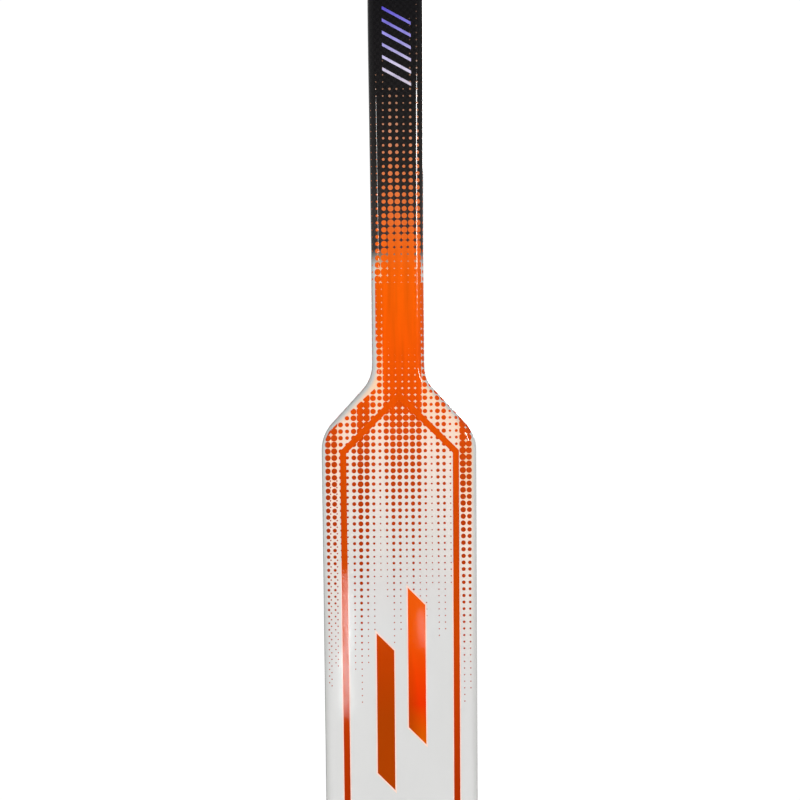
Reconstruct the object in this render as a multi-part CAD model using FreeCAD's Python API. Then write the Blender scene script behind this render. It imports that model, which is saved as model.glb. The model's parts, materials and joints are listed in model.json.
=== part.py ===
"""Goalkeeper's ice hockey stick: hollow shaft, foam-cored paddle and foam-cored curved blade.

Millimetres. +Z runs up the shaft, -Y is the front (forehand) face, +X is towards the toe.
The origin is on the shaft's centre line at the neck, where the shaft starts to widen and the hand rests.
"""
import FreeCAD, Part
import math
import os

Vector = FreeCAD.Vector

# Shaft, a little narrower at the neck than where the hands hold it
SHAFT_WIDTH = 31.4
NECK_WIDTH = 29.5
TAPER_LOW = 62.0
TAPER_HIGH = 190.0
TAPER_RADIUS = 2500.0
SHAFT_TOP = 820.0
SHAFT_WALL = 1.9
BODY_THICKNESS = 20.0
EDGE_RADIUS = 4.5

# Shoulder, where the shaft widens into the paddle
PADDLE_WIDTH = 88.5
SHOULDER_ANGLE = math.radians(42.5)
NECK_RADIUS = 21.0
SHOULDER_RADIUS = 22.0

# Paddle, a little narrower at the heel than at the shoulder
PADDLE_LENGTH = 660.0
HEEL_WIDTH = 83.0
SKIN_WALL = 1.2
RAIL_WIDTH = 6.0
RIB_WIDTH = 1.5
RIB_SPREAD = 28.7
SHOULDER_DEPTH = 75.0
PADDLE_JOIN = -555.0

# Blade
LIE_DROP = math.radians(25.0)
BLADE_LENGTH = 390.0
BLADE_HEIGHT = 88.5
HEEL_RADIUS = 34.0
CROTCH_RADIUS = 36.0
TOE_LOWER_RADIUS = 30.0
TOE_UPPER_RADIUS = 46.0
BEND_START = 100.0
BLADE_CURVE = 13.0
TOE_THICKNESS = 10.0
HEEL_BLOCK_END = 130.0
TOE_INSERT_START = 345.0
BLADE_RIB_WIDTH = 2.0
LOWER_RIB_HEIGHT = 30.0
UPPER_RIB_HEIGHT = 59.0

# Spigot between the shaft and the paddle
SPIGOT_IN_SHAFT = 50.0

# Plug in the top of the shaft
CAP_HEIGHT = 5.0
CAP_ROUNDING = 1.6
SHANK_LENGTH = 36.0
SHANK_GAP = 0.7
PLUG_RIBS = 3
PLUG_RIB_HEIGHT = 2.5
PLUG_RIB_PITCH = 10.0

# Half the side of a block that reaches past the whole stick
REACH = 1500.0
# How far the rough envelope runs on above the shaft's true top, so that its end is cut square
TRIM = 60.0
# How far the block that parts the front skins from the back ones reaches out in front
SPLIT_DEPTH = 80.0
# The share of an edge's length that must lie along a direction for the edge to count as running that way
MOSTLY = 0.9

ALONG_BLADE = Vector(math.cos(LIE_DROP), 0, -math.sin(LIE_DROP))
UP_BLADE = Vector(math.sin(LIE_DROP), 0, math.cos(LIE_DROP))
HEEL = Vector(-HEEL_WIDTH / 2, 0, -PADDLE_LENGTH)
FRONT = Vector(0, -1, 0)
BACK = Vector(0, 1, 0)


def blade_point(along, up):
    """A point of the blade's plane, from its distance along the bottom edge and its height over it."""
    return HEEL + ALONG_BLADE * along + UP_BLADE * up


def shoulder_level():
    """The height of the shoulder's outer corners, before rounding, and of the neck's inner ones."""
    neck = -NECK_RADIUS * math.tan(SHOULDER_ANGLE / 2)
    return neck - (PADDLE_WIDTH - NECK_WIDTH) / 2 / math.tan(SHOULDER_ANGLE), neck


def half_paddle_at(level):
    """Half the paddle's width at a height, between the shoulder and the heel."""
    shoulder, _ = shoulder_level()
    share = (shoulder - level) / (shoulder + PADDLE_LENGTH)
    return (PADDLE_WIDTH + (HEEL_WIDTH - PADDLE_WIDTH) * share) / 2


def crotch_corner():
    """Where the paddle's right side meets the blade's top edge."""
    shoulder, _ = shoulder_level()
    side_start = Vector(half_paddle_at(shoulder), 0, shoulder)
    side_run = Vector(half_paddle_at(-PADDLE_LENGTH), 0, -PADDLE_LENGTH) - side_start
    height = (side_start - blade_point(0, BLADE_HEIGHT)).dot(UP_BLADE)
    return side_start - side_run * (height / side_run.dot(UP_BLADE))


def stick_corners():
    """The corners of the front outline before rounding, anticlockwise from the top left, with their radii.

    An inner corner has its radius below 0.
    """
    half_shaft = SHAFT_WIDTH / 2
    half_neck = NECK_WIDTH / 2
    half_paddle = PADDLE_WIDTH / 2
    shoulder, neck = shoulder_level()
    top = SHAFT_TOP + TRIM
    return [
        (Vector(-half_shaft, 0, top), 0),
        (Vector(-half_shaft, 0, TAPER_HIGH), TAPER_RADIUS),
        (Vector(-half_neck, 0, TAPER_LOW), -TAPER_RADIUS),
        (Vector(-half_neck, 0, neck), -NECK_RADIUS),
        (Vector(-half_paddle, 0, shoulder), SHOULDER_RADIUS),
        (HEEL, HEEL_RADIUS),
        (blade_point(BLADE_LENGTH, 0), TOE_LOWER_RADIUS),
        (blade_point(BLADE_LENGTH, BLADE_HEIGHT), TOE_UPPER_RADIUS),
        (crotch_corner(), -CROTCH_RADIUS),
        (Vector(half_paddle, 0, shoulder), SHOULDER_RADIUS),
        (Vector(half_neck, 0, neck), -NECK_RADIUS),
        (Vector(half_neck, 0, TAPER_LOW), -TAPER_RADIUS),
        (Vector(half_shaft, 0, TAPER_HIGH), TAPER_RADIUS),
        (Vector(half_shaft, 0, top), 0),
    ]


def inward(before, after):
    """The unit vector from an outline edge into the stick, for an outline that runs anticlockwise."""
    run = (after - before).normalize()
    return Vector(-run.z, 0, run.x)


def inset_corners(corners, inset):
    """The same corners for an outline a little further in: inner radii grow, and outer ones shrink."""
    moved = []
    for i, (point, radius) in enumerate(corners):
        first = inward(corners[i - 1][0], point)
        second = inward(point, corners[(i + 1) % len(corners)][0])
        shift = (first + second) * (inset / (1 + first.dot(second)))
        moved.append((point + shift, radius - inset if radius else 0))
    return moved


def rounded_wire(corners):
    """A closed wire through the corners, each rounded by an arc of its own radius."""
    ends = []
    for i, (point, radius) in enumerate(corners):
        back = (corners[i - 1][0] - point).normalize()
        ahead = (corners[(i + 1) % len(corners)][0] - point).normalize()
        half_corner = back.getAngle(ahead) / 2
        reach = abs(radius) / math.tan(half_corner)
        bisector = (back + ahead).normalize()
        middle = point + bisector * (abs(radius) / math.sin(half_corner) - abs(radius))
        ends.append((point + back * reach, middle, point + ahead * reach, radius))
    edges = []
    for i, (start, middle, end, radius) in enumerate(ends):
        if radius:
            edges.append(Part.Arc(start, middle, end).toShape())
        edges.append(Part.LineSegment(end, ends[(i + 1) % len(ends)][0]).toShape())
    return Part.Wire(edges)


def bend_radius(drop):
    """The radius of an arc that leaves the flat at BEND_START and has dropped this far at the toe."""
    run = BLADE_LENGTH - BEND_START
    return (run * run + drop * drop) / (2 * drop)


def bent_face(level, radius):
    """Edges of one face seen along the blade's height: flat to BEND_START, then an arc to past the toe."""
    def place(along, across):
        return HEEL + ALONG_BLADE * along + BACK * across - UP_BLADE * REACH

    def on_arc(along):
        run = along - BEND_START
        return place(along, level - radius + math.sqrt(radius * radius - run * run))

    past_toe = BLADE_LENGTH + TRIM
    start = place(-REACH, level)
    bend = place(BEND_START, level)
    end = on_arc(past_toe)
    flat = Part.LineSegment(start, bend).toShape()
    arc = Part.Arc(bend, on_arc((BEND_START + past_toe) / 2), end).toShape()
    return [flat, arc], start, end


def bent_slab(front_level, front_radius, back_level, back_radius):
    """The space between two bent faces, as tall as the whole stick."""
    front, front_start, front_end = bent_face(front_level, front_radius)
    back, back_start, back_end = bent_face(back_level, back_radius)
    toe = Part.LineSegment(front_end, back_end).toShape()
    tail = Part.LineSegment(back_start, front_start).toShape()
    face = Part.Face(Part.Wire(Part.sortEdges(front + [toe] + back + [tail])[0]))
    return face.extrude(UP_BLADE * (2 * REACH))


def envelope(inset):
    """The whole stick as one rounded solid, its surface moved in by inset."""
    outline = Part.Face(rounded_wire(inset_corners(stick_corners(), inset)))
    outline.translate(FRONT * REACH)
    prism = outline.extrude(BACK * (2 * REACH))
    half = BODY_THICKNESS / 2
    toe_half = TOE_THICKNESS / 2
    front_radius = bend_radius(BLADE_CURVE + toe_half - half)
    back_radius = bend_radius(BLADE_CURVE - toe_half + half)
    slab = bent_slab(inset - half, front_radius + inset, half - inset, back_radius - inset)
    body = prism.common(slab).Solids[0]
    rim = [edge for edge in body.Edges if is_rim(edge)]
    return body.makeFillet(EDGE_RADIUS - inset, rim)


def is_rim(edge):
    """True for an edge between the stick's side and its front or back, and not at its top end."""
    first, last = edge.Vertexes[0].Point, edge.Vertexes[-1].Point
    across = abs(first.y - last.y) > MOSTLY * edge.Length
    at_top = min(first.z, last.z) > SHAFT_TOP + TRIM / 2
    return not across and not at_top


def block(low, high, across=Vector(1, 0, 0), up=Vector(0, 0, 1), base=Vector(0, 0, 0)):
    """A block from low to high, each (across, up), that runs right through the stick from front to back."""
    corners = [(low[0], low[1]), (high[0], low[1]), (high[0], high[1]), (low[0], high[1])]
    points = [base + across * x + up * z + FRONT * REACH for x, z in corners]
    return Part.Face(Part.makePolygon(points + points[:1])).extrude(BACK * (2 * REACH))


def blade_block(low, high):
    """A block in the blade's own directions, measured from the heel."""
    return block(low, high, ALONG_BLADE, UP_BLADE, HEEL)


def rounded_bar(width, thickness, radius, low, high):
    """An upright bar of rounded rectangular section on the shaft's centre line."""
    bar = Part.makeBox(width, thickness, high - low, Vector(-width / 2, -thickness / 2, low))
    upright = [edge for edge in bar.Edges if abs(edge.tangentAt(edge.FirstParameter).z) > MOSTLY]
    return bar.makeFillet(radius, upright)


def bore_bar(width, gap, low, high):
    """A bar that fills the bore but for a gap all round, where the shaft is this wide."""
    step = SHAFT_WALL + gap
    return rounded_bar(width - 2 * step, BODY_THICKNESS - 2 * step, EDGE_RADIUS - step, low, high)


def make_shaft(outer, bore):
    """The hollow shaft tube and the plug in its top."""
    tube_top = SHAFT_TOP - CAP_HEIGHT
    tube = outer.common(block((-REACH, 0), (REACH, tube_top))).cut(bore)
    return {"shaft_tube": tube, "butt_plug": make_plug(tube_top)}


def make_plug(tube_top):
    """A cap as wide as the shaft, with a shank whose ribs grip the bore."""
    cap = rounded_bar(SHAFT_WIDTH, BODY_THICKNESS, EDGE_RADIUS, tube_top, SHAFT_TOP)
    crown = [edge for edge in cap.Edges if edge.BoundBox.ZMin > SHAFT_TOP - CAP_ROUNDING / 2]
    plug = cap.makeFillet(CAP_ROUNDING, crown)
    plug = plug.fuse(bore_bar(SHAFT_WIDTH, SHANK_GAP, tube_top - SHANK_LENGTH, tube_top))
    for i in range(PLUG_RIBS):
        rib_top = tube_top - PLUG_RIB_HEIGHT - i * PLUG_RIB_PITCH
        plug = plug.fuse(bore_bar(SHAFT_WIDTH, 0, rib_top - PLUG_RIB_HEIGHT, rib_top))
    return plug.removeSplitter()


def make_skins(outer, core):
    """The laminate round the paddle and the blade, each as a front and a back half."""
    skin = outer.cut(core)
    middle = bend_radius(BLADE_CURVE)
    front_half = bent_slab(-SPLIT_DEPTH, middle + SPLIT_DEPTH, 0, middle)
    paddle = skin.common(block((-REACH, PADDLE_JOIN), (REACH, 0)))
    blade = skin.common(block((-REACH, -REACH), (REACH, PADDLE_JOIN)))
    return {
        "paddle_front_skin": paddle.common(front_half),
        "paddle_back_skin": paddle.cut(front_half),
        "blade_front_skin": blade.common(front_half),
        "blade_back_skin": blade.cut(front_half),
    }


def make_neck(core):
    """The spigot and the two dense inserts that fill the shoulder beside it."""
    half = NECK_WIDTH / 2 - SHAFT_WALL
    foot = core.common(block((-half, -SHOULDER_DEPTH), (half, 0)))
    spigot = foot.fuse(bore_bar(NECK_WIDTH, 0, 0, SPIGOT_IN_SHAFT)).removeSplitter()
    return {
        "neck_spigot": spigot,
        "shoulder_insert_left": core.common(block((-REACH, -SHOULDER_DEPTH), (-half, 0))),
        "shoulder_insert_right": core.common(block((half, -SHOULDER_DEPTH), (REACH, 0))),
    }


def make_paddle_core(core):
    """Strips down the paddle, left to right: rail, foam, rib, foam, rib, foam and rail."""
    inner = (RIB_SPREAD - RIB_WIDTH) / 2
    outer = (RIB_SPREAD + RIB_WIDTH) / 2
    middle = core.common(block((-REACH, PADDLE_JOIN), (REACH, -SHOULDER_DEPTH)))
    left_rail = middle.common(rail_block(-1))
    right_rail = middle.common(rail_block(1))
    between = middle.cut(left_rail).cut(right_rail)
    strips = {
        "paddle_foam_left": (-REACH, -outer),
        "paddle_rib_left": (-outer, -inner),
        "paddle_foam_centre": (-inner, inner),
        "paddle_rib_right": (inner, outer),
        "paddle_foam_right": (outer, REACH),
    }
    pieces = {
        name: between.common(block((left, -REACH), (right, REACH)))
        for name, (left, right) in strips.items()
    }
    return {"paddle_rail_left": left_rail, **pieces, "paddle_rail_right": right_rail}


def rail_block(side):
    """A block over one edge of the paddle, its inner face parallel to the paddle's tapered side."""
    step = SKIN_WALL + RAIL_WIDTH
    upper = Vector(side * (half_paddle_at(0) - step), -REACH, 0)
    lower = Vector(side * (half_paddle_at(-PADDLE_LENGTH) - step), -REACH, -PADDLE_LENGTH)
    outward = Vector(side * PADDLE_WIDTH, 0, 0)
    corners = [upper, lower, lower + outward, upper + outward, upper]
    return Part.Face(Part.makePolygon(corners)).extrude(BACK * (2 * REACH))


def make_blade_core(core):
    """The heel block, the strips along the blade and the toe insert."""
    below = core.common(block((-REACH, -REACH), (REACH, PADDLE_JOIN)))
    half_rib = BLADE_RIB_WIDTH / 2
    strips = {
        "blade_foam_lower": (-REACH, LOWER_RIB_HEIGHT - half_rib),
        "blade_rib_lower": (LOWER_RIB_HEIGHT - half_rib, LOWER_RIB_HEIGHT + half_rib),
        "blade_foam_middle": (LOWER_RIB_HEIGHT + half_rib, UPPER_RIB_HEIGHT - half_rib),
        "blade_rib_upper": (UPPER_RIB_HEIGHT - half_rib, UPPER_RIB_HEIGHT + half_rib),
        "blade_foam_upper": (UPPER_RIB_HEIGHT + half_rib, REACH),
    }
    pieces = {
        name: below.common(blade_block((HEEL_BLOCK_END, low), (TOE_INSERT_START, high)))
        for name, (low, high) in strips.items()
    }
    pieces["heel_block"] = below.common(blade_block((-REACH, -REACH), (HEEL_BLOCK_END, REACH)))
    pieces["toe_insert"] = below.common(blade_block((TOE_INSERT_START, -REACH), (REACH, REACH)))
    return pieces


def main():
    outer = envelope(0)
    core = envelope(SKIN_WALL)
    bore = envelope(SHAFT_WALL)
    pieces = {}
    pieces.update(make_shaft(outer, bore))
    pieces.update(make_skins(outer, core))
    pieces.update(make_neck(core))
    pieces.update(make_paddle_core(core))
    pieces.update(make_blade_core(core))
    os.makedirs("parts", exist_ok=True)
    for name, shape in pieces.items():
        solids = shape.Solids
        box = shape.BoundBox
        print(f"{name}: {len(solids)} solid, {shape.Volume / 1000:.1f} cm3, valid {shape.isValid()}, "
              f"z {box.ZMin:.1f} to {box.ZMax:.1f}")
        (solids[0] if len(solids) == 1 else Part.Compound(solids)).exportStep(f"parts/{name}.step")


main()
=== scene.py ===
"""Looks of the goalkeeper's stick: prints, paints, cores, studio light and camera, round the CAD frame."""
import json
import math

import bpy
import numpy as np
from mathutils import Matrix, Vector


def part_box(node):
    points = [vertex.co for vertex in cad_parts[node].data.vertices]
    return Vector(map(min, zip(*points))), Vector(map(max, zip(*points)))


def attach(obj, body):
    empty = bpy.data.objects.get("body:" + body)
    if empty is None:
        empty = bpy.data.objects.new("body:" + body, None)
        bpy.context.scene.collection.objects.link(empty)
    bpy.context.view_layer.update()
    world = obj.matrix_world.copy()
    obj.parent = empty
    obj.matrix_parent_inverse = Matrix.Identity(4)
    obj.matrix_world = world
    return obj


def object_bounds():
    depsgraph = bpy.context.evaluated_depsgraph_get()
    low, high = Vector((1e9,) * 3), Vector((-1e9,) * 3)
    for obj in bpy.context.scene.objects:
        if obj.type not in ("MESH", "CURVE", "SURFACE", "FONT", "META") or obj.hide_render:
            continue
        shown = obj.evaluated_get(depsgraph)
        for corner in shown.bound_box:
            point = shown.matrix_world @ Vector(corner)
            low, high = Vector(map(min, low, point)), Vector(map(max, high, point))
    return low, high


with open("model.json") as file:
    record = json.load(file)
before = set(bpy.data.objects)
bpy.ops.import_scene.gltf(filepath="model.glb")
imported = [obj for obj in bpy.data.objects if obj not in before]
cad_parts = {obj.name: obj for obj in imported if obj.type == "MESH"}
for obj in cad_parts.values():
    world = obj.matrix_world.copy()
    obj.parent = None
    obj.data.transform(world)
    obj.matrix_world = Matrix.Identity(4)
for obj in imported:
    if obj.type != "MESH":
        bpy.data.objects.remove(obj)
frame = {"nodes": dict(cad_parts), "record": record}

cad_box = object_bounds()
MM = 0.001

# ---------------------------------------------------------------------------------------------
# Sizes of the stick, in metres, from the CAD nodes' boxes, with the radii that part.py gives it
# ---------------------------------------------------------------------------------------------
shaft_low, shaft_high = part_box("shaft_tube")
paddle_low, paddle_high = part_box("paddle_front_skin")
back_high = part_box("paddle_back_skin")[1]

SHAFT_WIDTH = shaft_high.x - shaft_low.x
NECK_WIDTH = 29.5 * MM
TAPER_LOW = 62 * MM
TAPER_HIGH = 190 * MM
TAPER_RADIUS = 2500 * MM
BODY_THICKNESS = back_high.y - paddle_low.y
PADDLE_WIDTH = paddle_high.x - paddle_low.x
EDGE_RADIUS = 4.5 * MM
SHOULDER_ANGLE = math.radians(42.5)
NECK_RADIUS = 21 * MM
SHOULDER_RADIUS = 22 * MM
PADDLE_LENGTH = 660 * MM
HEEL_WIDTH = 83 * MM
LIE_DROP = math.radians(25)
BLADE_LENGTH = 390 * MM
BLADE_HEIGHT = 88.5 * MM
HEEL_RADIUS = 34 * MM
CROTCH_RADIUS = 36 * MM
TOE_LOWER_RADIUS = 30 * MM
TOE_UPPER_RADIUS = 46 * MM
FLAT_FACE = BODY_THICKNESS / 2

# Front (-Y) and back (+Y) faces of the stick, and the laminate skins that make them
FRONT = -1
BACK = 1
FRONT_SKINS = ("paddle_front_skin", "blade_front_skin")
BACK_SKINS = ("paddle_back_skin", "blade_back_skin")

# How far the printed film stands off the laminate, and how far its underside is sunk into it
FILM_LIFT = 0.06 * MM
RIM_LIFT = 0.08 * MM
LINE_LIFT = 0.10 * MM
FOIL_LIFT = 0.12 * MM
FILM_SINK = 0.03 * MM
# Film edges sharper than this stay crisp
CRISP_ANGLE = math.radians(35)
# Drawings are dropped on the face from this far out
DROP_FROM = 3 * BODY_THICKNESS

# ---------------------------------------------------------------------------------------------
# Outline of the stick
# ---------------------------------------------------------------------------------------------
# Places of three corners in the outline's list, counted from the top of the shaft's left side
SHOULDER_LEFT = 4
HEEL_CORNER = 5
SHOULDER_RIGHT = 9

along_blade = np.array([math.cos(LIE_DROP), -math.sin(LIE_DROP)])
up_blade = np.array([math.sin(LIE_DROP), math.cos(LIE_DROP)])
heel = np.array([-HEEL_WIDTH / 2, -PADDLE_LENGTH])
neck_level = -NECK_RADIUS * math.tan(SHOULDER_ANGLE / 2)
shoulder_level = neck_level - (PADDLE_WIDTH - NECK_WIDTH) / 2 / math.tan(SHOULDER_ANGLE)


def meet(point, run, other, other_run):
    """Where two lines of the front plane meet."""
    share = np.linalg.solve(np.array([run, -other_run]).T, other - point)[0]
    return point + run * share


def outline_corners():
    """The stick's corners before rounding, anticlockwise seen from the front, each with its radius."""
    shoulder_right = np.array([PADDLE_WIDTH / 2, shoulder_level])
    side_run = np.array([HEEL_WIDTH / 2, -PADDLE_LENGTH]) - shoulder_right
    top_edge = heel + up_blade * BLADE_HEIGHT
    return [
        (np.array([-SHAFT_WIDTH / 2, shaft_high.z]), 0),
        (np.array([-SHAFT_WIDTH / 2, TAPER_HIGH]), TAPER_RADIUS),
        (np.array([-NECK_WIDTH / 2, TAPER_LOW]), -TAPER_RADIUS),
        (np.array([-NECK_WIDTH / 2, neck_level]), -NECK_RADIUS),
        (np.array([-PADDLE_WIDTH / 2, shoulder_level]), SHOULDER_RADIUS),
        (heel, HEEL_RADIUS),
        (heel + along_blade * BLADE_LENGTH, TOE_LOWER_RADIUS),
        (heel + along_blade * BLADE_LENGTH + up_blade * BLADE_HEIGHT, TOE_UPPER_RADIUS),
        (meet(top_edge, along_blade, shoulder_right, side_run), -CROTCH_RADIUS),
        (shoulder_right, SHOULDER_RADIUS),
        (np.array([NECK_WIDTH / 2, neck_level]), -NECK_RADIUS),
        (np.array([NECK_WIDTH / 2, TAPER_LOW]), -TAPER_RADIUS),
        (np.array([SHAFT_WIDTH / 2, TAPER_HIGH]), TAPER_RADIUS),
        (np.array([SHAFT_WIDTH / 2, shaft_high.z]), 0),
    ]


def unit(vector):
    return vector / np.linalg.norm(vector)


def inset(corners, step):
    """The corners of an outline moved in by step: outer radii shrink and inner ones grow."""
    moved = []
    for i, (point, radius) in enumerate(corners):
        into = unit(point - corners[i - 1][0])
        out_of = unit(corners[(i + 1) % len(corners)][0] - point)
        first = np.array([-into[1], into[0]])
        second = np.array([-out_of[1], out_of[0]])
        corner = point + (first + second) * (step / (1 + first @ second))
        moved.append((corner, radius - step if radius else 0))
    return moved


def rounded(corners, arc_step=math.radians(4)):
    """Points of a closed outline whose corners are rounded by arcs, each turning the way its corner does."""
    points = []
    for i, (point, radius) in enumerate(corners):
        back = unit(corners[i - 1][0] - point)
        ahead = unit(corners[(i + 1) % len(corners)][0] - point)
        if not radius:
            points.append(point)
            continue
        half_corner = math.acos(np.clip(back @ ahead, -1, 1)) / 2
        reach = abs(radius) / math.tan(half_corner)
        centre = point + unit(back + ahead) * abs(radius) / math.sin(half_corner)
        start = point + back * reach - centre
        turn = math.pi - 2 * half_corner
        turn = turn if back[1] * ahead[0] - back[0] * ahead[1] > 0 else -turn
        count = max(2, math.ceil(abs(turn) / arc_step))
        for k in range(count + 1):
            angle = turn * k / count
            cos, sin = math.cos(angle), math.sin(angle)
            spoke = np.array([start[0] * cos - start[1] * sin, start[0] * sin + start[1] * cos])
            points.append(centre + spoke)
    return np.array(points)


# ---------------------------------------------------------------------------------------------
# Laying a flat drawing on the stick
# ---------------------------------------------------------------------------------------------
flat_edge = rounded(inset(outline_corners(), EDGE_RADIUS))
edge_run = np.roll(flat_edge, -1, axis=0) - flat_edge


def edge_distance(points):
    """How far each point is outside the face's flat part, the nearest edge point, and the outward normal."""
    offset = points[:, None, :] - flat_edge[None]
    share = np.clip((offset * edge_run).sum(2) / (edge_run ** 2).sum(1), 0, 1)
    gap = offset - share[..., None] * edge_run
    nearest = (gap ** 2).sum(2).argmin(1)
    rows = np.arange(len(points))
    gap = gap[rows, nearest]
    run = edge_run[nearest]
    normal = np.stack([run[:, 1], -run[:, 0]], 1) / np.linalg.norm(run, axis=1)[:, None]
    return (gap * normal).sum(1), points - gap, normal


def wrap(points, side, lift):
    """Bends a drawing, in metres across and up, over the face and its rounded edge like a film."""
    points = np.asarray(points, float)
    distance, nearest, normal = edge_distance(points)
    outside = np.clip(distance, 0, None)
    quarter = EDGE_RADIUS * math.pi / 2
    angle = np.minimum(outside, quarter) / EDGE_RADIUS
    down_side = np.clip(outside - quarter, 0, None)
    radius = EDGE_RADIUS + lift
    across = np.where(
        (distance > 0)[:, None], nearest + normal * (radius * np.sin(angle))[:, None], points
    )
    depth = FLAT_FACE - EDGE_RADIUS + radius * np.cos(angle) - down_side
    return np.column_stack([across[:, 0], side * depth, across[:, 1]])


def lay(points, side, lift):
    """Drops a drawing straight on to the face, which follows the blade's curve."""
    nodes = FRONT_SKINS if side == FRONT else BACK_SKINS
    placed = []
    for x, z in points:
        start = Vector((x, side * DROP_FROM, z))
        hits = [frame["nodes"][n].ray_cast(start, Vector((0, -side, 0))) for n in nodes]
        heights = [place.y * side for hit, place, _, _ in hits if hit]
        placed.append((x, side * (max(heights, default=FLAT_FACE) + lift), z))
    return np.array(placed)


def side_name(side):
    return "front" if side == FRONT else "back"


class Film:
    """A mesh of thin closed tiles laid on one face of the stick.

    A mirrored film reads the same way round from the back as the front's does from the front.
    """

    def __init__(self, name, side, placer, lift, mirrored=True):
        self.name, self.side, self.placer, self.lift = name, side, placer, lift
        self.mirrored = mirrored and side == BACK
        self.drawn, self.faces, self.is_top = [], [], []

    def tile(self, rings):
        """Adds a tile from closed rings of points, outermost first, all with the same number of points."""
        count = len(rings[0])
        tops = [self._add(ring, True) for ring in rings]
        foot = self._add(rings[0], False)
        for outer, inner in zip(tops, tops[1:]):
            self._band(outer, inner, count)
        self.faces.append([tops[-1] + i for i in range(count)])
        self._band(foot, tops[0], count)
        self.faces.append([foot + i for i in reversed(range(count))])

    def strip(self, left, right):
        """Adds a tile between two open lines of points."""
        count = len(left)
        top_left, top_right = self._add(left, True), self._add(right, True)
        foot_left, foot_right = self._add(left, False), self._add(right, False)
        for i in range(count - 1):
            self.faces.append([top_left + i, top_right + i, top_right + i + 1, top_left + i + 1])
            self.faces.append([foot_left + i, foot_left + i + 1, foot_right + i + 1, foot_right + i])
            self.faces.append([foot_left + i, top_left + i, top_left + i + 1, foot_left + i + 1])
            self.faces.append([foot_right + i, foot_right + i + 1, top_right + i + 1, top_right + i])
        end = count - 1
        self.faces.append([foot_left, foot_right, top_right, top_left])
        self.faces.append([foot_left + end, top_left + end, top_right + end, foot_right + end])

    def _add(self, points, top):
        first = len(self.drawn)
        self.drawn.extend(points)
        self.is_top.extend([top] * len(points))
        return first

    def _band(self, lower, upper, count):
        for i in range(count):
            after = (i + 1) % count
            self.faces.append([lower + i, lower + after, upper + after, upper + i])

    def build(self, material, slot):
        """Makes the Blender object, riding on the stick."""
        drawn = np.array(self.drawn)
        is_top = np.array(self.is_top)
        if self.mirrored:
            drawn = drawn * [-1, 1]
        high = self.placer(drawn, self.side, self.lift)
        low = self.placer(drawn, self.side, -FILM_SINK)
        places = np.where(is_top[:, None], high, low)
        mesh = bpy.data.meshes.new(self.name)
        mesh.from_pydata(places.tolist(), [], self.faces)
        if self.side == BACK and not self.mirrored:
            mesh.flip_normals()
        mesh.polygons.foreach_set("use_smooth", [True] * len(mesh.polygons))
        mesh.set_sharp_from_angle(angle=CRISP_ANGLE)
        mesh.materials.append(material)
        piece = bpy.data.objects.new(self.name, mesh)
        bpy.context.scene.collection.objects.link(piece)
        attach(piece, "root")
        return piece


# ---------------------------------------------------------------------------------------------
# Halftone print: a square grid of dots, each as large as its column's strength allows
# ---------------------------------------------------------------------------------------------
# Height where the shaft's print meets the paddle's
DECAL_SEAM = 46.69 * MM
# Radius of a dot, as a share of the pitch, where it has merged with its neighbours, and the largest one
MERGED_SHARE = 0.585
LARGEST_SHARE = 0.672
# How many sides a dot has, up to each share of half the pitch
DOT_SIDES = ((0.35, 12), (0.6, 16), (math.inf, 24))
# A dot that bends round the edge is made of this many rings
BENT_RINGS = 3
# A dot that the film's end leaves less than this share of its radius is left out
SLIVER_SHARE = 0.3
# A dot further than this outside the flat face would be round on the side wall, and is left out
WRAP_LIMIT = 9 * MM

# Shaft columns, from left to right: the height in mm where the dots have merged, how slowly they fade above
# it in mm, and the height in mm where they stop
SHAFT_COLUMNS = {
    -4: (18, 25, 150), -3: (45, 36, 166), -2: (52, 62, 176), -1: (66, 79, 159), 0: (67, 66, 159),
    1: (64, 52, 159), 2: (66, 66, 200), 3: (54, 80, 206), 4: (20, 48, 190),
}
SHAFT_FAINTEST = 0.085
# Distance of the dots across and up, and the height half a row below the lowest row
SHAFT_PITCH = (3.91 * MM, 4.03 * MM)
SHAFT_PHASE = 46.7 * MM

# Paddle columns, from left to right: strength at the neck as a share of the pitch, and how far below the
# neck the dots reach in mm
PADDLE_PITCH = (3.74 * MM, 3.78 * MM)
PADDLE_COLUMNS = {
    -11: (0.67, 185), -10: (0.69, 172), -9: (0.52, 142), -8: (0.45, 134), -7: (0.55, 176), -6: (0.70, 194),
    -5: (0.67, 172), -4: (0.52, 153), -3: (0.44, 123), -2: (0.61, 135), -1: (0.66, 161), 0: (0.67, 153),
    1: (0.66, 138), 2: (0.63, 161), 3: (0.67, 141), 4: (0.43, 147), 5: (0.31, 129), 6: (0.46, 156),
    7: (0.46, 155), 8: (0.28, 129), 9: (0.36, 125), 10: (0.72, 196), 11: (0.67, 188),
}
# A dot has its column's strength at this height. Below, it shrinks to the faintest at the column's end, a
# little faster as it gets there.
FADE_START = 19.5 * MM
FADE_CURVE = 0.85
PADDLE_FAINTEST = 0.10
# Dots swell a little more close to the neck, and more again up it
NECK_SWELL = 0.11
SWELL_END = -45 * MM
TOP_SWELL = 0.2
TOP_SWELL_FULL = 30 * MM
# Right of this column the columns stand a little closer together
CLOSER_FROM = 3
CLOSER_BY = 0.17 * MM
# The two columns on the left edge have small echoes of each dot, down and to the right
ECHO_COLUMNS = (-11, -10)
ECHO_STEP = (1.4 * MM, -1.8 * MM)
ECHO_RADIUS = 0.42 * MM
ECHO_START = -62 * MM
# How far left the paddle's film reaches at a few heights, as it stops short of the left shoulder's edge
FILM_LEFT_HEIGHTS = (-43 * MM, -38.2 * MM, -13.5 * MM)
FILM_LEFT_REACH = (-42.9 * MM, -40.5 * MM, -13.4 * MM)
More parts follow.
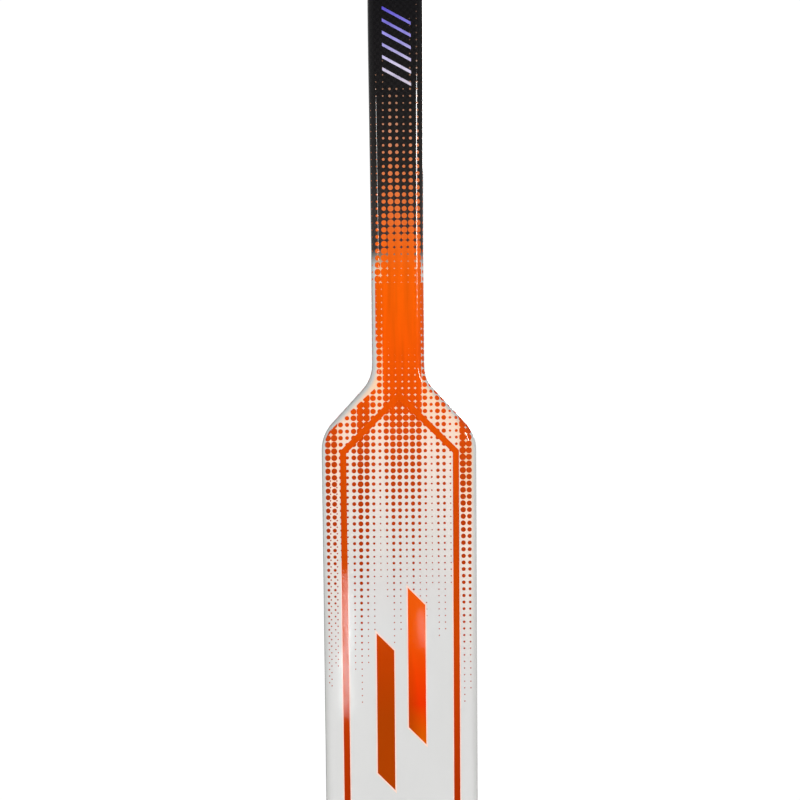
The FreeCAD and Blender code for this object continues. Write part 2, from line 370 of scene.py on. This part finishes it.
# Below this height the film also stops short of the right edge, and above it it goes round that edge
FILM_RIGHT_FROM = -46 * MM
FILM_RIGHT = 41.5 * MM


def film_limits(z):
    """The left and right limits of the paddle's film at a height."""
    left = np.interp(z, FILM_LEFT_HEIGHTS, FILM_LEFT_REACH)
    return left, FILM_RIGHT if z < FILM_RIGHT_FROM else PADDLE_WIDTH


def dot_rings(x, z, radius, pitch, limits, rings):
    """Rings of a dot, cut off square where it meets its neighbours and where the film ends."""
    half_across, half_up = pitch[0] / 2, pitch[1] / 2
    share = radius / half_across
    count = next(sides for limit, sides in DOT_SIDES if share < limit)
    angles = np.arange(count) * 2 * math.pi / count
    ring = np.column_stack([
        np.clip(radius * np.cos(angles), -half_across, half_across),
        np.clip(radius * np.sin(angles), -half_up, half_up),
    ])
    result = []
    for k in range(rings):
        points = ring * (1 - k / rings) + [x, z]
        if limits:
            bounds = np.array([limits(level) for level in points[:, 1]])
            points[:, 0] = np.clip(points[:, 0], bounds[:, 0], bounds[:, 1])
        result.append(points)
    return result


def add_dot(film, x, z, radius, pitch, limits=None):
    """Adds one dot, unless it would lie round the back of the edge or outside the film."""
    distance = edge_distance(np.array([[x, z]]))[0][0]
    if distance > WRAP_LIMIT:
        return
    if limits:
        left, right = limits(z)
        inside = min(x + radius - left, right - x + radius)
        if inside < SLIVER_SHARE * radius:
            return
    rings = BENT_RINGS if distance > -pitch[0] / 2 else 1
    film.tile(dot_rings(x, z, radius, pitch, limits, rings))


def shaft_dots(side):
    """Dots that grow down the black shaft until they merge above the film's seam."""
    film = Film("shaft_print_" + side_name(side), side, wrap, FILM_LIFT)
    across, up = SHAFT_PITCH
    for column, (merged, fade, top) in SHAFT_COLUMNS.items():
        z = SHAFT_PHASE + up / 2
        while z < top * MM:
            share = MERGED_SHARE * math.exp((merged * MM - z) / (fade * MM))
            share = min(max(share, SHAFT_FAINTEST), LARGEST_SHARE)
            add_dot(film, column * across, z, share * across, SHAFT_PITCH)
            z += up
    return film


def paddle_dots(side):
    """Dots that shrink down the paddle from the solid neck."""
    film = Film("paddle_print_" + side_name(side), side, wrap, FILM_LIFT)
    across, up = PADDLE_PITCH
    for column, (strength, reach) in PADDLE_COLUMNS.items():
        end = -reach * MM
        x = column * across - max(0, column - CLOSER_FROM) * CLOSER_BY
        row = 0
        while True:
            z = DECAL_SEAM - (row + 0.5) * up
            if z < end:
                break
            height = max(0, (z - end) / (FADE_START - end))
            share = max(strength * height ** FADE_CURVE, PADDLE_FAINTEST)
            share += NECK_SWELL * strength * min(1, max(0, 1 - z / SWELL_END))
            share += TOP_SWELL * strength * min(1, max(0, z / TOP_SWELL_FULL))
            add_dot(film, x, z, share * across, PADDLE_PITCH, film_limits)
            if column in ECHO_COLUMNS and z < ECHO_START:
                echo = min(ECHO_RADIUS, share * across)
                add_dot(film, x + ECHO_STEP[0], z + ECHO_STEP[1], echo, PADDLE_PITCH, film_limits)
            row += 1
    return film


# ---------------------------------------------------------------------------------------------
# Lines, foil bars and the shaft's marking
# ---------------------------------------------------------------------------------------------
LINE_WIDTH = 3.5 * MM
LINE_INSET = 11.9 * MM
LINE_APEX = -18 * MM
# The line is drawn in steps no longer than this, so that it follows the blade's curve
LINE_STEP = 8 * MM
# A pale rim shows beside the line, below the halftone
LINE_RIM = 0.6 * MM
RIM_FROM = -112 * MM


def frame_path(step):
    """The line inside the paddle and blade, from the apex down the left, round the blade and back up.

    It falls at 45 degrees from the apex to an elbow on each side, and keeps its width round the elbows.
    """
    corners = inset(outline_corners(), step)
    further_in = step - LINE_INSET
    apex = LINE_APEX - further_in * math.sqrt(2)
    elbow = LINE_APEX - (PADDLE_WIDTH / 2 - LINE_INSET) - further_in * (math.sqrt(2) - 1)
    elbow_left = corners[SHOULDER_LEFT][0][0]
    elbow_right = corners[SHOULDER_RIGHT][0][0]
    bends = [
        (np.array([0, apex]), 0),
        (np.array([elbow_left, elbow]), 0),
        *corners[HEEL_CORNER:SHOULDER_RIGHT],
        (np.array([elbow_right, elbow]), 0),
    ]
    points = rounded(bends)
    return np.vstack([points, points[:1]])


def frame_line(name, side, width, lift, top=0.0):
    """A line of this width round the paddle and the blade, below the height of top."""
    film = Film(name + side_name(side), side, lay, lift, mirrored=False)
    outer = frame_path(LINE_INSET - width / 2)
    inner = frame_path(LINE_INSET + width / 2)
    left, right = [outer[0]], [inner[0]]
    for i in range(1, len(outer)):
        count = max(1, math.ceil(np.linalg.norm(outer[i] - outer[i - 1]) / LINE_STEP))
        for k in range(1, count + 1):
            left.append(outer[i - 1] + (outer[i] - outer[i - 1]) * k / count)
            right.append(inner[i - 1] + (inner[i] - inner[i - 1]) * k / count)
    left, right = np.array(left), np.array(right)
    below = left[:, 1] < top
    film.strip(left[below], right[below])
    return film


# Foil bars: pairs of plain bars, all alike, with the left one of each pair set lower
BAR_WIDTH = 10 * MM
BAR_GAP = 8 * MM
BAR_LENGTH = 80 * MM
BAR_STAGGER = 26 * MM
BAR_SLANT = 1.0
BAR_RIM = 0.75 * MM
PAIR_COUNT = 3
PAIR_TOP = -128 * MM
PAIR_PITCH = 124 * MM


def bar_corners():
    """The corners of every foil bar, with both ends slanted alike."""
    bars = []
    drop = BAR_SLANT * BAR_WIDTH
    for pair in range(PAIR_COUNT):
        for hand, lower in ((1, 0), (-1, BAR_STAGGER)):
            middle = hand * (BAR_WIDTH + BAR_GAP) / 2
            left, right = middle - BAR_WIDTH / 2, middle + BAR_WIDTH / 2
            high = PAIR_TOP - pair * PAIR_PITCH - lower
            low = high - BAR_LENGTH
            bars.append(([left, high], [left, low], [right, low - drop], [right, high - drop]))
    return bars


def foil_bars(side):
    film = Film("foil_bars_" + side_name(side), side, lay, FOIL_LIFT)
    for corners in bar_corners():
        film.tile([np.array(corners)])
    return film


def bar_rims(side):
    """The pale rim that shows round each foil bar."""
    film = Film("bar_rims_" + side_name(side), side, lay, LINE_LIFT)
    for corners in bar_corners():
        grown = inset([(np.array(corner), 0) for corner in corners], -BAR_RIM)
        film.tile([np.array([corner for corner, _ in grown])])
    return film


# The shaft's marking: a ladder of plain slanted dashes, all alike
DASH_COUNT = 6
DASH_PITCH = 7 * MM
DASH_HEIGHT = 1.8 * MM
DASH_LEFT = -8 * MM
DASH_RIGHT = 8.5 * MM
DASH_TOP = 205 * MM
DASH_SLOPE = 0.55


def shaft_mark(side):
    film = Film("shaft_mark_" + side_name(side), side, wrap, LINE_LIFT)
    drop = (DASH_RIGHT - DASH_LEFT) * DASH_SLOPE
    for k in range(DASH_COUNT):
        high = DASH_TOP - k * DASH_PITCH
        low = high - DASH_HEIGHT
        corners = [[DASH_LEFT, high], [DASH_LEFT, low], [DASH_RIGHT, low - drop], [DASH_RIGHT, high - drop]]
        film.tile([np.array(corners)])
    return film


# ---------------------------------------------------------------------------------------------
# Materials
# ---------------------------------------------------------------------------------------------
# Sockets of a node that mixes colours
MIX_FACTOR = 0
MIX_FIRST = 6
MIX_SECOND = 7
MIX_RESULT = 2


def linear(red, green, blue):
    """A colour from its usual 0 to 255 values."""
    def channel(value):
        value = value / 255
        return value / 12.92 if value <= 0.04045 else ((value + 0.055) / 1.055) ** 2.4
    return (channel(red), channel(green), channel(blue), 1.0)


class Paint:
    """A node material under construction, in the object's own coordinates."""

    def __init__(self, name, roughness, coat=0.0, metallic=0.0, coat_roughness=0.03, specular=0.5):
        self.material = bpy.data.materials.new(name)
        self.material.use_nodes = True
        self.tree = self.material.node_tree
        self.shader = self.tree.nodes["Principled BSDF"]
        self.set("Roughness", roughness)
        self.set("Metallic", metallic)
        self.set("Specular IOR Level", specular)
        self.set("Coat Weight", coat)
        self.set("Coat Roughness", coat_roughness)
        coordinates = self.node("ShaderNodeTexCoord")
        self.place = coordinates.outputs["Object"]
        self.normal = coordinates.outputs["Normal"]

    def set(self, socket, value):
        self.shader.inputs[socket].default_value = value

    def node(self, kind, **inputs):
        node = self.tree.nodes.new(kind)
        for name, value in inputs.items():
            self.feed(node.inputs[name.replace("_", " ")], value)
        return node

    def feed(self, socket, value):
        if isinstance(value, bpy.types.NodeSocket):
            self.tree.links.new(value, socket)
        else:
            socket.default_value = value

    def math(self, operation, first, second=0.0):
        node = self.tree.nodes.new("ShaderNodeMath")
        node.operation = operation
        self.feed(node.inputs[0], first)
        self.feed(node.inputs[1], second)
        return node.outputs[0]

    def axis(self, name):
        return self.node("ShaderNodeSeparateXYZ", Vector=self.place).outputs[name]

    def scaled(self, scale):
        node = self.node("ShaderNodeMapping", Vector=self.place)
        node.inputs["Scale"].default_value = scale
        return node.outputs[0]

    def noise(self, scale, stretch=(1, 1, 1), detail=3.0, roughness=0.5):
        node = self.node("ShaderNodeTexNoise", Vector=self.scaled(stretch), Scale=scale, Detail=detail,
                         Roughness=roughness)
        return node.outputs["Fac"]

    def ramp(self, factor, stops):
        """A colour ramp from stops of a place and a colour's red, green and blue."""
        node = self.node("ShaderNodeValToRGB", Fac=factor)
        elements = node.color_ramp.elements
        while len(elements) < len(stops):
            elements.new(0.5)
        for element, (position, *colour) in zip(elements, stops):
            element.position = position
            element.color = linear(*colour)
        return node.outputs["Color"]

    def spread(self, value, low, high, to_low=0.0, to_high=1.0, clamp=True):
        """A value carried from one range to another."""
        node = self.node("ShaderNodeMapRange", Value=value)
        node.clamp = clamp
        for name, number in (("From Min", low), ("From Max", high), ("To Min", to_low), ("To Max", to_high)):
            node.inputs[name].default_value = number
        return node.outputs[0]

    def mix(self, factor, first, second, blend="MIX"):
        node = self.tree.nodes.new("ShaderNodeMix")
        node.data_type = "RGBA"
        node.blend_type = blend
        self.feed(node.inputs[MIX_FACTOR], factor)
        self.feed(node.inputs[MIX_FIRST], first)
        self.feed(node.inputs[MIX_SECOND], second)
        return node.outputs[MIX_RESULT]

    def bump(self, height, strength, distance, onto=None):
        node = self.node("ShaderNodeBump", Height=height, Strength=strength, Distance=distance)
        if onto is not None:
            self.tree.links.new(onto, node.inputs["Normal"])
        return node.outputs[0]

    def finish(self, colour=None, normal=None, roughness=None):
        if colour is not None:
            self.feed(self.shader.inputs["Base Color"], colour)
        if normal is not None:
            self.tree.links.new(normal, self.shader.inputs["Normal"])
            if self.shader.inputs["Coat Weight"].default_value:
                self.tree.links.new(normal, self.shader.inputs["Coat Normal"])
        if roughness is not None:
            self.feed(self.shader.inputs["Roughness"], roughness)
        return self.material


# The lacquer turns from white to black between these heights, along a slightly wavy edge
WHITE_FROM = 54 * MM
BLACK_FROM = 66 * MM
EDGE_WAVER = 2 * MM
# The black grows lighter down the shaft, between these heights
BLACK_TOP = 210 * MM
BLACK_FOOT = 70 * MM
# The blush under the dots fades between these heights, and reaches further down beside each edge
BLUSH_TOP = 20 * MM
BLUSH_FOOT = -180 * MM
BLUSH_SIDE_FROM = 32 * MM
BLUSH_SIDE_FULL = 37 * MM
BLUSH_LEFT_REACH = 30 * MM
BLUSH_RIGHT_REACH = 48 * MM
# How squarely a surface faces front or back where the blush starts and where it is full
BLUSH_FACING = (0.75, 0.99)
# The printed ink and the border line change tone between these heights, and the ink also out to each side
INK_TOP = 190 * MM
INK_FOOT = -110 * MM
INK_SIDE = 40 * MM
LINE_TONE_TOP = -10 * MM
LINE_TONE_FOOT = -250 * MM
# Painted reflection: the foil is painted lighter between these places on the right bars
FOIL_REFLECTION_FROM = 2 * MM
FOIL_REFLECTION_TO = 12 * MM
# The pearly ink of the shaft's marking turns from violet to near white between these heights
PEARL_TOP = 207 * MM
PEARL_FOOT = 156 * MM
# Specular level of the layers that lie under the clear coat
UNDER_COAT = 0.05


def clear_coat_waves(paint):
    """The slow waviness of lacquer over laminate, with a finer orange peel on it."""
    slow = paint.noise(38.0, detail=1.0)
    fine = paint.noise(420.0, detail=1.0)
    normal = paint.bump(slow, 0.04, 0.4 * MM)
    return paint.bump(fine, 0.03, 0.03 * MM, normal)


def black_lacquer(paint, height):
    """Black over a fine carbon weave, a little lighter towards the neck."""
    black = paint.ramp(paint.spread(height, BLACK_TOP, BLACK_FOOT), [
        (0.0, 24, 23, 25), (0.4, 32, 30, 30), (0.7, 44, 40, 38), (1.0, 68, 61, 58),
    ])
    weave = paint.node("ShaderNodeTexChecker", Vector=paint.place, Scale=520.0)
    weave.inputs["Color1"].default_value = linear(255, 255, 255)
    weave.inputs["Color2"].default_value = linear(205, 205, 208)
    return paint.mix(0.7, black, weave.outputs["Color"], "MULTIPLY")


def white_lacquer(paint, height):
    """White with a warm blush under the dots of the flat faces, and a very faint cloudiness."""
    across = paint.axis("X")
    longer_left = paint.spread(across, -BLUSH_SIDE_FROM, -BLUSH_SIDE_FULL, 0, BLUSH_LEFT_REACH)
    longer_right = paint.spread(across, BLUSH_SIDE_FROM, BLUSH_SIDE_FULL, 0, BLUSH_RIGHT_REACH)
    blush_height = paint.math("ADD", height, paint.math("ADD", longer_left, longer_right))
    blush = paint.ramp(paint.spread(blush_height, BLUSH_TOP, BLUSH_FOOT), [
        (0.0, 250, 204, 160), (0.1, 251, 208, 168), (0.18, 252, 216, 184),
        (0.305, 250, 223, 205), (0.375, 244, 224, 211), (0.445, 238, 224, 214),
        (0.52, 233, 223, 216), (0.59, 228, 222, 216), (0.73, 222, 219, 217),
        (0.85, 220, 220, 219),
    ])
    facing = paint.math("ABSOLUTE", paint.node("ShaderNodeSeparateXYZ", Vector=paint.normal).outputs["Y"])
    white = paint.mix(paint.spread(facing, *BLUSH_FACING), linear(221, 221, 219), blush)
    mottle = paint.ramp(paint.noise(24.0, (1, 1, 0.4), detail=5.0), [
        (0.35, 250, 250, 250), (0.65, 255, 255, 255),
    ])
    return paint.mix(1.0, white, mottle, "MULTIPLY")


def laminate_paint(name):
    """Gloss lacquer over the body colour: black down to the neck, then white."""
    paint = Paint(name, roughness=0.42, coat=1.0, specular=UNDER_COAT)
    height = paint.axis("Z")
    smear = paint.noise(90.0, detail=4.0)
    wavering = paint.math("ADD", height, paint.spread(smear, 0.2, 0.8, -EDGE_WAVER, EDGE_WAVER))
    whiteness = paint.spread(wavering, BLACK_FROM, WHITE_FROM)
    colour = paint.mix(whiteness, black_lacquer(paint, height), white_lacquer(paint, height))
    return paint.finish(colour, clear_coat_waves(paint))


def ink_tone(paint):
    """The ink's colour down the stick: thin and brown on the black, pure orange at the neck, then deeper."""
    return paint.ramp(paint.spread(paint.axis("Z"), INK_TOP, INK_FOOT), [
        (0.0, 108, 82, 68), (0.107, 168, 124, 98), (0.187, 214, 146, 112),
        (0.25, 226, 130, 80), (0.32, 240, 122, 60), (0.4, 252, 110, 28),
        (0.455, 255, 102, 4), (0.52, 255, 98, 0), (0.6, 255, 93, 0),
        (0.68, 248, 88, 0), (0.76, 226, 79, 4), (0.82, 207, 71, 4),
        (0.89, 194, 64, 4), (1.0, 184, 60, 4),
    ])


def streaked(paint, tone, depth=0.8):
    """The faint upright streaks of a printed film."""
    streaks = paint.ramp(paint.noise(300.0, (1, 1, 0.06), detail=2.0), [
        (0.35, 236, 236, 236), (0.65, 255, 255, 255),
    ])
    return paint.mix(depth, tone, streaks, "MULTIPLY")


def ink_paint():
    """The halftone's ink, a trace darker on the paddle's left."""
    paint = Paint("orange_ink", roughness=0.4, coat=1.0, specular=UNDER_COAT)
    across = paint.spread(paint.axis("X"), -INK_SIDE, INK_SIDE)
    sides = paint.ramp(across, [
        (0.0, 246, 242, 234), (0.3, 250, 250, 250), (0.7, 251, 251, 251),
        (1.0, 255, 255, 255),
    ])
    tone = paint.mix(1.0, ink_tone(paint), sides, "MULTIPLY")
    return paint.finish(streaked(paint, tone), clear_coat_waves(paint))


def line_paint():
    """The border line's ink: orange at the shoulder, burnt orange lower down."""
    paint = Paint("border_ink", roughness=0.35, coat=1.0, metallic=0.15, specular=UNDER_COAT)
    tone = paint.ramp(paint.spread(paint.axis("Z"), LINE_TONE_TOP, LINE_TONE_FOOT), [
        (0.0, 252, 91, 0), (0.12, 240, 86, 0), (0.3, 220, 78, 2), (0.6, 214, 73, 2),
        (0.85, 194, 58, 0), (1.0, 184, 52, 0),
    ])
    return paint.finish(streaked(paint, tone, 0.5), clear_coat_waves(paint))


def foil_paint():
    """Metallic orange foil with a painted reflection: a right bar goes lit from orange through red to amber,
    brightest near its top, and a left one is deeper, painted as in shade.
    """
    paint = Paint("orange_foil", roughness=0.3, coat=1.0, metallic=0.2, specular=UNDER_COAT)
    drift = paint.math("MULTIPLY", paint.noise(14.0, (1, 1, 0.3), detail=1.0), 0.3)
    below = paint.spread(paint.axis("Z"), PAIR_TOP, PAIR_TOP - PAIR_PITCH, clamp=False)
    down = paint.math("FRACT", below)
    # Painted reflection: a lit tone for the right bars, and below it a tone in painted shade for the left
    # ones
    lit_foil_tone = paint.ramp(down, [
        (0.0, 255, 98, 12), (0.2, 255, 92, 6), (0.42, 255, 68, 0), (0.54, 252, 56, 0),
        (0.68, 232, 96, 0), (0.86, 238, 116, 0), (1.0, 255, 104, 4),
    ])
    shaded_foil_tone = paint.ramp(down, [
        (0.0, 236, 88, 6), (0.3, 206, 68, 0), (0.6, 186, 68, 0), (1.0, 188, 70, 0),
    ])
    across = paint.spread(paint.axis("X"), FOIL_REFLECTION_FROM, FOIL_REFLECTION_TO, 0.0, 0.85)
    # Painted highlight: the right bars are painted brighter near their tops
    from_top = paint.spread(down, 0.25, 0.6, 0.5, 0.0)
    right_only = paint.spread(paint.axis("X"), 0.0, BAR_GAP / 2)
    painted_top_highlight = paint.math("MULTIPLY", from_top, right_only)
    painted_reflection = paint.math("ADD", paint.math("ADD", across, painted_top_highlight), drift)
    colour = paint.mix(paint.spread(painted_reflection, 0.15, 0.95), shaded_foil_tone, lit_foil_tone)
    return paint.finish(colour, clear_coat_waves(paint), paint.spread(drift, 0.0, 0.3, 0.26, 0.34))


def rim_paint():
    """The pale pink edge of the film under the foil and the border line."""
    paint = Paint("pale_rim", roughness=0.4, coat=1.0, specular=UNDER_COAT)
    tone = paint.ramp(paint.noise(60.0, detail=2.0), [(0.3, 250, 214, 198), (0.7, 255, 226, 212)])
    return paint.finish(tone, clear_coat_waves(paint))


def mark_paint():
    """Pearly ink of the shaft's marking, violet at the top and near white at the foot."""
    paint = Paint("violet_pearl_ink", roughness=0.3, coat=1.0, metallic=0.1, specular=UNDER_COAT)
    tone = paint.ramp(paint.spread(paint.axis("Z"), PEARL_TOP, PEARL_FOOT), [
        (0.0, 92, 78, 226), (0.4, 176, 168, 246), (0.7, 226, 218, 246),
        (1.0, 240, 228, 238),
    ])
    shimmer = paint.ramp(paint.noise(160.0, detail=2.0), [(0.3, 214, 214, 226), (0.7, 255, 255, 255)])
    return paint.finish(paint.mix(1.0, tone, shimmer, "MULTIPLY"), clear_coat_waves(paint))


def rubber_paint():
    paint = Paint("plug_rubber", roughness=0.7)
    grain = paint.noise(1500.0, detail=4.0)
    tone = paint.ramp(grain, [(0.3, 20, 20, 21), (0.7, 36, 36, 37)])
    return paint.finish(tone, paint.bump(grain, 0.35, 0.08 * MM), paint.spread(grain, 0.3, 0.7, 0.6, 0.8))


def foam_paint():
    paint = Paint("core_foam", roughness=0.9)
    cells = paint.node("ShaderNodeTexVoronoi", Vector=paint.place, Scale=1100.0).outputs["Distance"]
    tone = paint.ramp(cells, [(0.0, 176, 164, 128), (0.6, 232, 222, 188)])
    return paint.finish(tone, paint.bump(cells, 0.6, 0.3 * MM))


def filler_paint():
    paint = Paint("dense_filler", roughness=0.75)
    grain = paint.noise(260.0, detail=6.0, roughness=0.7)
    tone = paint.ramp(grain, [(0.3, 150, 132, 98), (0.7, 188, 170, 132)])
    return paint.finish(tone, paint.bump(grain, 0.3, 0.15 * MM))


def carbon_paint():
    paint = Paint("core_carbon", roughness=0.45, coat=0.3, coat_roughness=0.2)
    weave = paint.node("ShaderNodeTexBrick", Vector=paint.place, Scale=260.0)
    weave.inputs["Color1"].default_value = linear(30, 30, 32)
    weave.inputs["Color2"].default_value = linear(48, 48, 52)
    weave.inputs["Mortar"].default_value = linear(18, 18, 19)
    return paint.finish(weave.outputs["Color"], paint.bump(weave.outputs["Fac"], 0.3, 0.1 * MM))


def paint_nodes():
    """Gives every CAD node its material, by the record's slot."""
    by_slot = {
        "shaft_laminate": laminate_paint("shaft_lacquer"),
        "painted_laminate": laminate_paint("paddle_lacquer"),
        "plug_rubber": rubber_paint(),
        "foam": foam_paint(),
        "filler": filler_paint(),
        "core_laminate": carbon_paint(),
    }
    for entry in frame["record"]["subparts"]:
        node = frame["nodes"][entry["node"]]
        node.data.materials.clear()
        node.data.materials.append(by_slot[entry["material_slot"]])


# ---------------------------------------------------------------------------------------------
# Studio
# ---------------------------------------------------------------------------------------------
# The floor lies just under the toe, and fades out between these distances from its middle, within its rim
FLOOR_DROP = 2 * MM
FLOOR_RADIUS = 2.6
FLOOR_SIDES = 96
FLOOR_FADE_FROM = 0.5
FLOOR_FADE_TO = 2.35
# The camera looks at this point from this far, shows this height of the front face, and is turned and rolled
# a little
VIEW_CENTRE = Vector((0.9 * MM, 0, -20.6 * MM))
VIEW_HEIGHT = 458 * MM
VIEW_DISTANCE = 2.6
VIEW_YAW = math.radians(-2.0)
VIEW_ROLL = math.radians(-0.5)
SENSOR = 36.0
# Softboxes: name, place, aim, width and height in metres, power in watts, and whether the gloss mirrors it
SOFTBOXES = (
    ("key_softbox", (1.9, -2.0, 0.3), (0, 0, -0.1), (1.2, 1.6), 45, False),
    ("fill_softbox", (-2.3, -1.7, -0.1), (0, 0, -0.1), (1.0, 1.6), 50, False),
    ("back_softbox", (0.8, 2.6, 1.0), (0, 0, -0.1), (1.6, 1.6), 80, True),
    ("right_strip", (0.86, -2.4, 0.231), (0, 0, 0.1), (0.34, 0.206), 6.8, True),
    ("left_strip", (-0.85, -2.43, 0.227), (0, 0, 0.1), (0.16, 0.17), 1.8, True),
)
# Glints on the front face: name, place across, lowest and highest point, width, and power in watts
GLINTS = (
    ("border_glint", -31.4 * MM, -201 * MM, -118 * MM, 2.3 * MM, 0.034),
    ("edge_glint", -34.4 * MM, -203 * MM, -160 * MM, 0.6 * MM, 0.006),
    ("foil_glint", 12 * MM, -163 * MM, -139 * MM, 1.7 * MM, 0.0032),
)
# Brightness of the white behind the stick, and of the surround from straight in front round to behind
BACKDROP = 1.05
SURROUND = ((0.0, 0.01), (0.06, 0.02), (0.2, 0.1), (0.5, 0.18), (1.0, 0.18))


def add_camera():
    data = bpy.data.cameras.new("camera")
    data.sensor_width = SENSOR
    data.lens = SENSOR * (VIEW_DISTANCE - FLAT_FACE) / VIEW_HEIGHT
    data.clip_start = 0.05
    data.clip_end = 60
    camera = bpy.data.objects.new("camera", data)
    direction = Vector((math.sin(VIEW_YAW), -math.cos(VIEW_YAW), 0))
    camera.location = VIEW_CENTRE + direction * VIEW_DISTANCE
    facing = (-direction).to_track_quat("-Z", "Y").to_matrix().to_4x4()
    roll = Matrix.Rotation(VIEW_ROLL, 4, "Z")
    camera.matrix_world = Matrix.Translation(camera.location) @ facing @ roll
    bpy.context.scene.collection.objects.link(camera)
    bpy.context.scene.camera = camera


def add_softbox(name, place, target, size, power, in_gloss=True, shape="RECTANGLE"):
    """An area light; one that is not in the gloss lights the stick but isn't mirrored in its lacquer."""
    data = bpy.data.lights.new(name, "AREA")
    data.shape = shape
    data.size, data.size_y = size
    data.energy = power
    light = bpy.data.objects.new(name, data)
    light.location = place
    light.rotation_euler = (Vector(target) - Vector(place)).to_track_quat("-Z", "Y").to_euler()
    light.visible_glossy = in_gloss
    bpy.context.scene.collection.objects.link(light)


def add_glint(name, across, low, high, width, power):
    """A small round-ended light whose mirror image lies on the flat front face at this place."""
    eye = bpy.context.scene.camera.location
    mirrored_x = 2 * across - eye.x
    mirrored_z = low + high - eye.z
    place = (mirrored_x, eye.y + 2 * FLAT_FACE, mirrored_z)
    size = (2 * width, 2 * (high - low))
    add_softbox(name, place, (mirrored_x, 0, mirrored_z), size, power, shape="ELLIPSE")


def add_lights():
    for softbox in SOFTBOXES:
        add_softbox(*softbox)
    for glint in GLINTS:
        add_glint(*glint)


def add_world():
    """White behind the stick, and a surround for its light and gloss that is dark straight in front."""
    world = bpy.data.worlds.new("studio")
    bpy.context.scene.world = world
    world.use_nodes = True
    tree = world.node_tree
    tree.nodes.clear()
    out = tree.nodes.new("ShaderNodeOutputWorld")
    surround = tree.nodes.new("ShaderNodeBackground")
    behind = tree.nodes.new("ShaderNodeBackground")
    behind.inputs["Color"].default_value = (1, 1, 1, 1)
    behind.inputs["Strength"].default_value = BACKDROP
    coords = tree.nodes.new("ShaderNodeTexCoord")
    split = tree.nodes.new("ShaderNodeSeparateXYZ")
    tree.links.new(coords.outputs["Generated"], split.inputs[0])
    ramp = tree.nodes.new("ShaderNodeValToRGB")
    spread = tree.nodes.new("ShaderNodeMapRange")
    spread.inputs["From Min"].default_value = -1
    spread.inputs["From Max"].default_value = 1
    tree.links.new(split.outputs["Y"], spread.inputs["Value"])
    tree.links.new(spread.outputs[0], ramp.inputs["Fac"])
    while len(ramp.color_ramp.elements) < len(SURROUND):
        ramp.color_ramp.elements.new(0.5)
    for element, (position, value) in zip(ramp.color_ramp.elements, SURROUND):
        element.position = position
        element.color = (value, value, value, 1)
    tree.links.new(ramp.outputs["Color"], surround.inputs["Color"])
    path = tree.nodes.new("ShaderNodeLightPath")
    mix = tree.nodes.new("ShaderNodeMixShader")
    tree.links.new(path.outputs["Is Camera Ray"], mix.inputs["Fac"])
    tree.links.new(surround.outputs[0], mix.inputs[1])
    tree.links.new(behind.outputs[0], mix.inputs[2])
    tree.links.new(mix.outputs[0], out.inputs["Surface"])


def add_floor():
    """A pale round floor under the toe that fades out towards its rim."""
    level = cad_box[0].z - FLOOR_DROP
    angles = [2 * math.pi * k / FLOOR_SIDES for k in range(FLOOR_SIDES)]
    rim = [(FLOOR_RADIUS * math.cos(angle), FLOOR_RADIUS * math.sin(angle), level) for angle in angles]
    mesh = bpy.data.meshes.new("floor")
    mesh.from_pydata(rim, [], [list(range(FLOOR_SIDES))])
    floor = bpy.data.objects.new("floor", mesh)
    bpy.context.scene.collection.objects.link(floor)
    paint = Paint("floor_paper", roughness=0.9)
    reach = paint.node("ShaderNodeVectorMath", Vector=paint.scaled((1, 1, 0)))
    reach.operation = "LENGTH"
    opacity = paint.spread(reach.outputs["Value"], FLOOR_FADE_FROM, FLOOR_FADE_TO, 1.0, 0.0)
    paint.feed(paint.shader.inputs["Alpha"], opacity)
    grain = paint.noise(30.0, detail=2.0)
    tone = paint.ramp(grain, [(0.4, 239, 239, 238), (0.6, 241, 241, 240)])
    mesh.materials.append(paint.finish(tone))


# ---------------------------------------------------------------------------------------------
# The whole scene
# ---------------------------------------------------------------------------------------------
bpy.context.scene.view_settings.view_transform = "Standard"
paint_nodes()
ink = ink_paint()
line = line_paint()
rim = rim_paint()
foil = foil_paint()
mark = mark_paint()
for face in (FRONT, BACK):
    shaft_dots(face).build(ink, "print_orange")
    paddle_dots(face).build(ink, "print_orange")
    frame_line("border_rim_", face, LINE_WIDTH + 2 * LINE_RIM, RIM_LIFT, RIM_FROM).build(rim, "print_orange")
    frame_line("border_line_", face, LINE_WIDTH, LINE_LIFT).build(line, "print_orange")
    bar_rims(face).build(rim, "print_orange")
    foil_bars(face).build(foil, "foil")
    shaft_mark(face).build(mark, "foil")
add_camera()
add_world()
add_lights()
add_floor()
